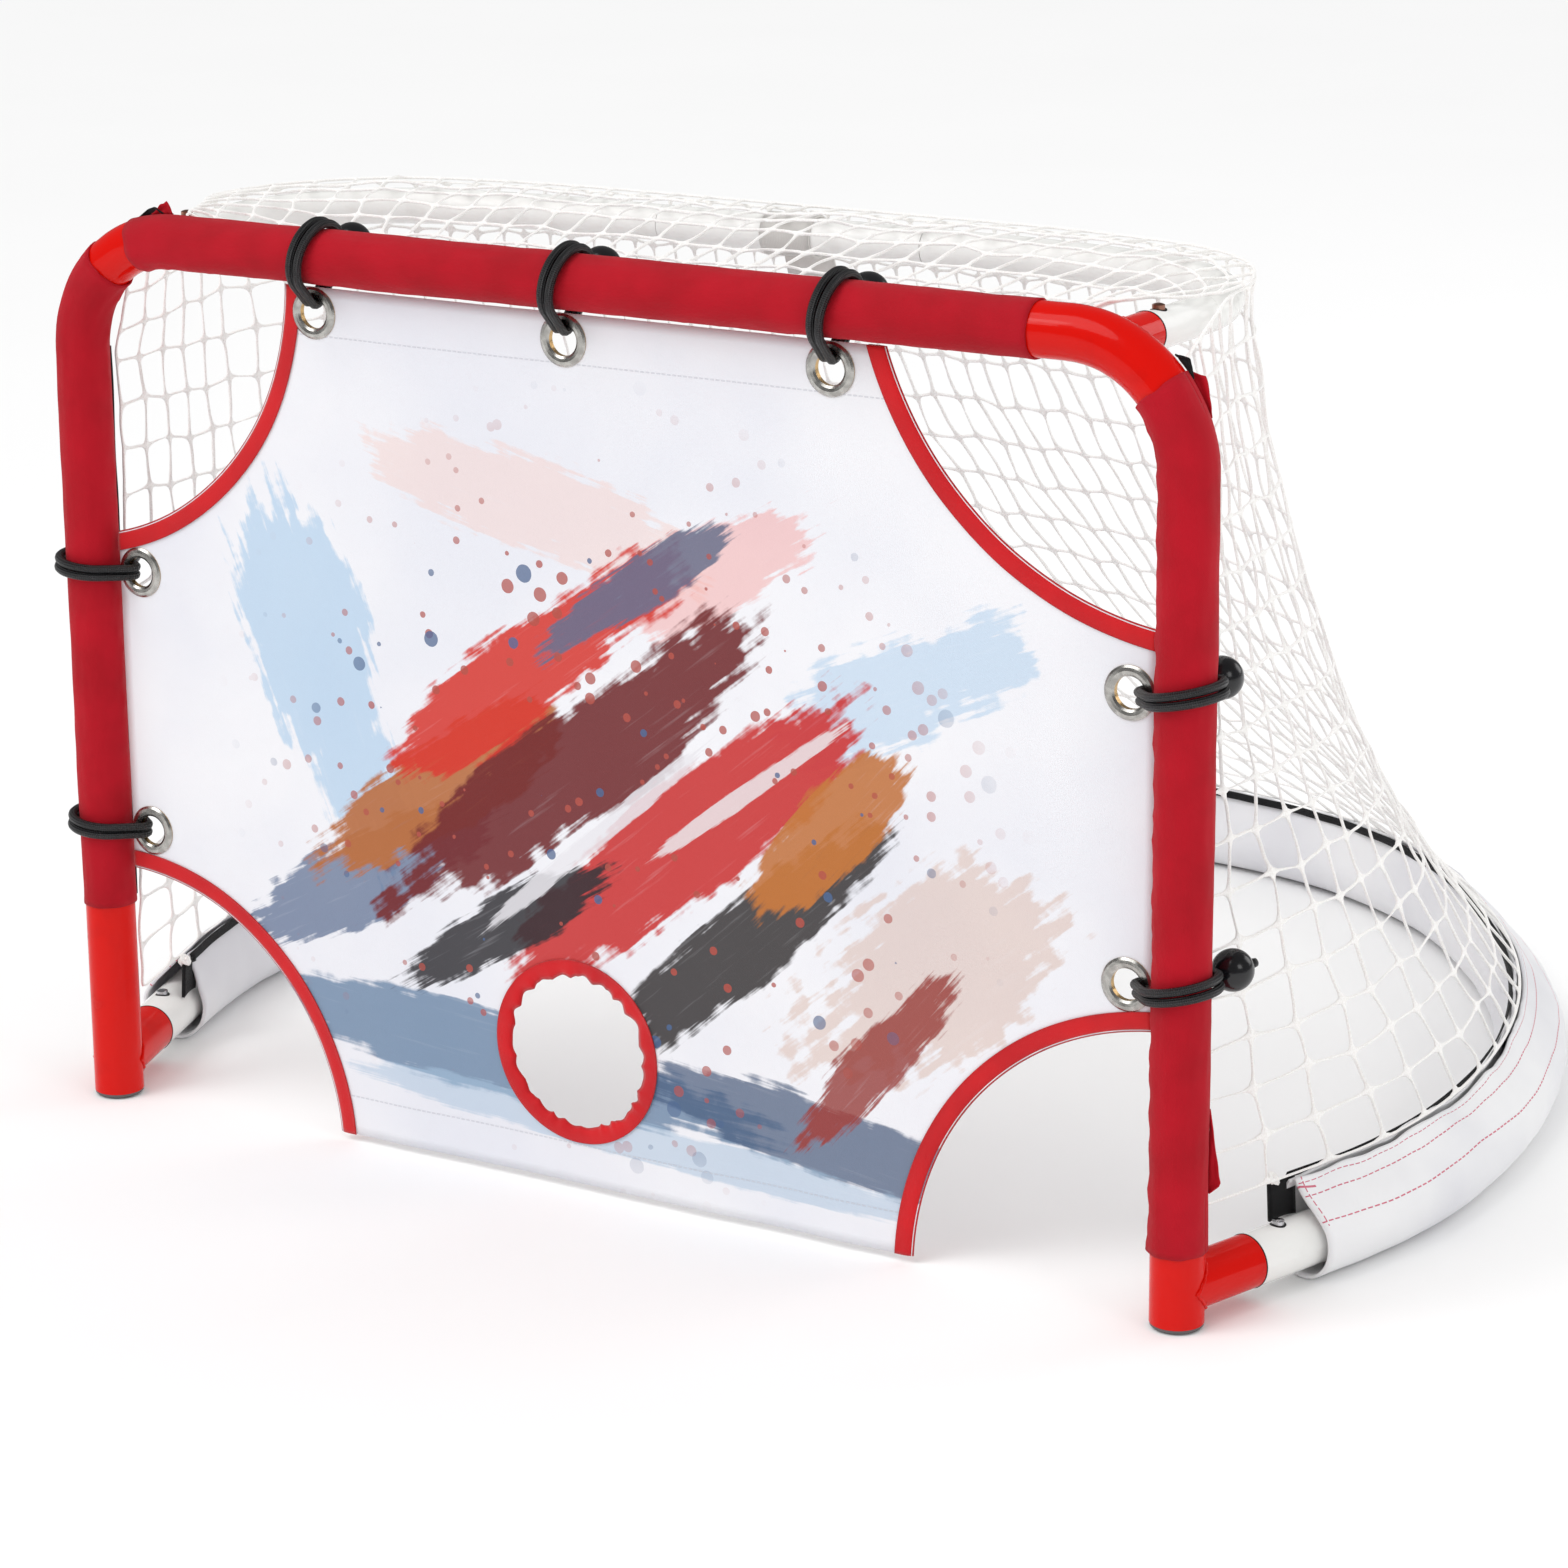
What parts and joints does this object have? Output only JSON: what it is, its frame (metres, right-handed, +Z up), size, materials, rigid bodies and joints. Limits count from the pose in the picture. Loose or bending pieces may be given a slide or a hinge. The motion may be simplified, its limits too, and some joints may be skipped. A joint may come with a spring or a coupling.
{
  "type": "small hockey goal",
  "caption": "Small free-standing hockey goal: tube frame, bowed top and base tubes, draped net, padded skirt and a tied-on target sheet with shooting holes.",
  "frame": {"origin": "on the floor, under the middle of the goal's outline", "axes": "+X across the goal to the viewer's right when looking in at the mouth, +Y from the mouth to the rear, +Z up"},
  "size_m": [1.0262, 0.9312, 0.6455],
  "materials": {
    "frame_red": "glossy bright red enamel",
    "foot_grey": "grey moulded plastic",
    "spigot_steel": "zinc plated",
    "tube_white": "glossy white enamel",
    "button_steel": "bright plated",
    "button_bronze": "dull reddish brown plating",
    "spring_steel": "blued spring steel",
    "sleeve_red": "woven nylon with wrinkles",
    "strip_black": "hook and loop tape",
    "skirt_white": "padded white nylon with stitching",
    "strap_grey": "webbing",
    "sheet_print": null,
    "binding_red": "bright red folded tape",
    "eyelet_nickel": "brushed nickel plating",
    "washer_nickel": "nickel plating",
    "cord_black": "elastic cord",
    "ball_black": "glossy black",
    "net_white": "white knotted cord"
  },
  "bodies": {
    "goal": {"front_frame": "frame_red", "left_post_foot": "foot_grey", "right_post_foot": "foot_grey", "left_base_spigot": "spigot_steel", "right_base_spigot": "spigot_steel", "left_top_spigot": "spigot_steel", "right_top_spigot": "spigot_steel", "left_bow_tube": "tube_white", "middle_bow_tube": "tube_white", "right_bow_tube": "tube_white", "left_base_tube": "tube_white", "rear_base_tube": "tube_white", "right_base_tube": "tube_white", "left_base_spring": "spring_steel", "right_base_spring": "spring_steel", "left_top_spring": "spring_steel", "right_top_spring": "spring_steel", "crossbar_sleeve": "sleeve_red", "left_post_sleeve": "sleeve_red", "right_post_sleeve": "sleeve_red", "crossbar_strip": "strip_black", "left_post_strip": "strip_black", "right_post_strip": "strip_black", "base_skirt": "skirt_white", "skirt_strip": "strip_black", "centre_strap": "strap_grey", "target_sheet": "sheet_print", "upper_left_binding": "binding_red", "upper_right_binding": "binding_red", "lower_left_binding": "binding_red", "lower_right_binding": "binding_red", "five_hole_binding": "binding_red", "eyelets": "eyelet_nickel", "eyelet_washers": "washer_nickel", "top_left_bungee": "cord_black", "top_middle_bungee": "cord_black", "top_right_bungee": "cord_black", "left_upper_bungee": "cord_black", "left_lower_bungee": "cord_black", "right_upper_bungee": "cord_black", "right_lower_bungee": "cord_black", "top_balls": "ball_black", "left_balls": "ball_black", "right_balls": "ball_black", "net_roof": "net_white", "left_net_side": "net_white", "right_net_side": "net_white", "left_net_corner": "net_white", "right_net_corner": "net_white", "left_net_quarter": "net_white", "right_net_quarter": "net_white", "left_net_back": "net_white", "right_net_back": "net_white"},
    "left_base_button": {"left_base_button": "button_steel"},
    "right_base_button": {"right_base_button": "button_steel"},
    "left_top_button": {"left_top_button": "button_bronze"},
    "right_top_button": {"right_top_button": "button_bronze"}
  },
  "joints": [
    {"name": "left_base_button_press", "type": "slide", "parent": "goal", "child": "left_base_button", "axis": [0, 0, -1], "range_m": [0, 0.0055], "stiffness_N_per_m": 800, "springref_m": -0.001, "deforming": ["left_base_spring"]},
    {"name": "right_base_button_press", "type": "slide", "parent": "goal", "child": "right_base_button", "axis": [0, 0, -1], "range_m": [0, 0.0055], "stiffness_N_per_m": 800, "springref_m": -0.001, "deforming": ["right_base_spring"]},
    {"name": "left_top_button_press", "type": "slide", "parent": "goal", "child": "left_top_button", "axis": [0, 0, -1], "range_m": [0, 0.0055], "stiffness_N_per_m": 800, "springref_m": -0.001, "deforming": ["left_top_spring"]},
    {"name": "right_top_button_press", "type": "slide", "parent": "goal", "child": "right_top_button", "axis": [0, 0, -1], "range_m": [0, 0.0055], "stiffness_N_per_m": 800, "springref_m": -0.001, "deforming": ["right_top_spring"]}
  ]
}
